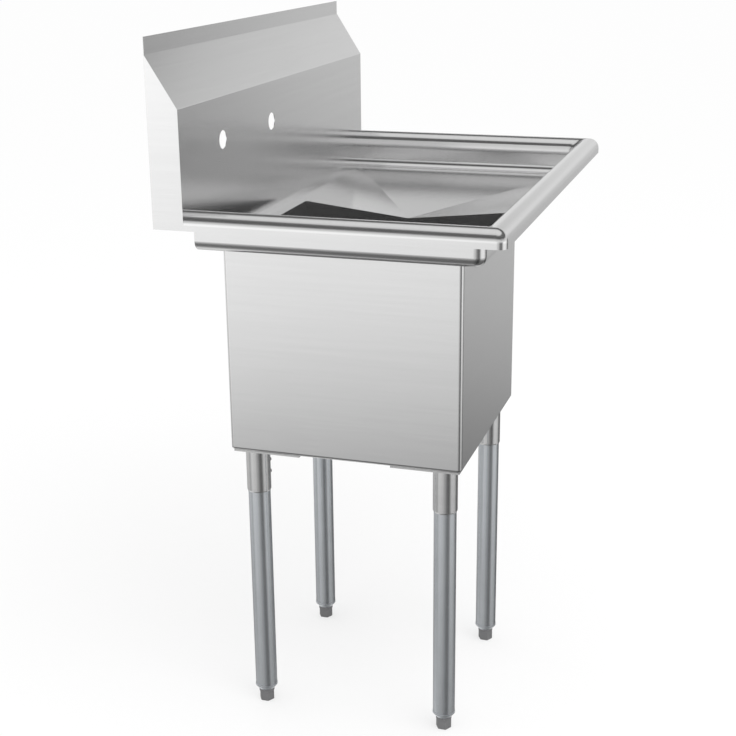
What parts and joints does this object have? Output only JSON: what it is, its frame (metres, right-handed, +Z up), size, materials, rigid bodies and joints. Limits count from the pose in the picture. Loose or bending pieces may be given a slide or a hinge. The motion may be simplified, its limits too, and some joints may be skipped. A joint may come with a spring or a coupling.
{
  "type": "utility sink with drainboard",
  "caption": "Free-standing utility sink in sheet steel: one deep square bowl, a folded drainboard to its right, a backsplash with two faucet holes, a rolled rim and tube legs on screw feet.",
  "frame": {"origin": "on the floor, at the middle of the overall width and depth", "axes": "+X to the drainboard end, +Y to the wall behind the backsplash, +Z up; the user stands on the -Y side"},
  "size_m": [0.843, 0.5214, 1.0922],
  "materials": {
    "stainless": "fine brushed satin",
    "socket_steel": "polished tube, slightly brushed",
    "galvanised": "smooth zinc coating, blue grey",
    "foot_plastic": "grey moulded plastic",
    "screw_steel": "dark oiled steel",
    "drain_steel": "polished",
    "nut_metal": "plain die-cast zinc",
    "rubber": "matt black",
    "fibre": "brown pressed fibre"
  },
  "bodies": {
    "frame": {"sink_top": "stainless", "bowl": "stainless", "backsplash": "stainless", "end_cap_left": "stainless", "end_cap_right": "stainless", "gusset_left_front": "stainless", "leg_socket_left_front": "socket_steel", "leg_tube_left_front": "galvanised", "foot_insert_left_front": "galvanised", "gusset_right_front": "stainless", "leg_socket_right_front": "socket_steel", "leg_tube_right_front": "galvanised", "foot_insert_right_front": "galvanised", "gusset_right_rear": "stainless", "leg_socket_right_rear": "socket_steel", "leg_tube_right_rear": "galvanised", "foot_insert_right_rear": "galvanised", "gusset_left_rear": "stainless", "leg_socket_left_rear": "socket_steel", "leg_tube_left_rear": "galvanised", "foot_insert_left_rear": "galvanised", "set_screws": "screw_steel", "strainer_body": "drain_steel", "strainer_gasket": "rubber", "friction_ring": "fibre", "strainer_locknut": "nut_metal"},
    "foot_left_front": {"foot_left_front": "foot_plastic"},
    "foot_right_front": {"foot_right_front": "foot_plastic"},
    "foot_right_rear": {"foot_right_rear": "foot_plastic"},
    "foot_left_rear": {"foot_left_rear": "foot_plastic"},
    "basket": {"strainer_basket": "drain_steel", "basket_seal": "rubber", "basket_knob": "drain_steel"}
  },
  "joints": [
    {"name": "foot_left_front_screw", "type": "slide", "parent": "frame", "child": "foot_left_front", "axis": [0, 0, -1], "range_m": [0, 0.025]},
    {"name": "foot_right_front_screw", "type": "slide", "parent": "frame", "child": "foot_right_front", "axis": [0, 0, -1], "range_m": [0, 0.025]},
    {"name": "foot_right_rear_screw", "type": "slide", "parent": "frame", "child": "foot_right_rear", "axis": [0, 0, -1], "range_m": [0, 0.025]},
    {"name": "foot_left_rear_screw", "type": "slide", "parent": "frame", "child": "foot_left_rear", "axis": [0, 0, -1], "range_m": [0, 0.025]},
    {"name": "basket_lift", "type": "slide", "parent": "frame", "child": "basket", "axis": [0, 0, 1], "range_m": [0, 0.05]}
  ]
}
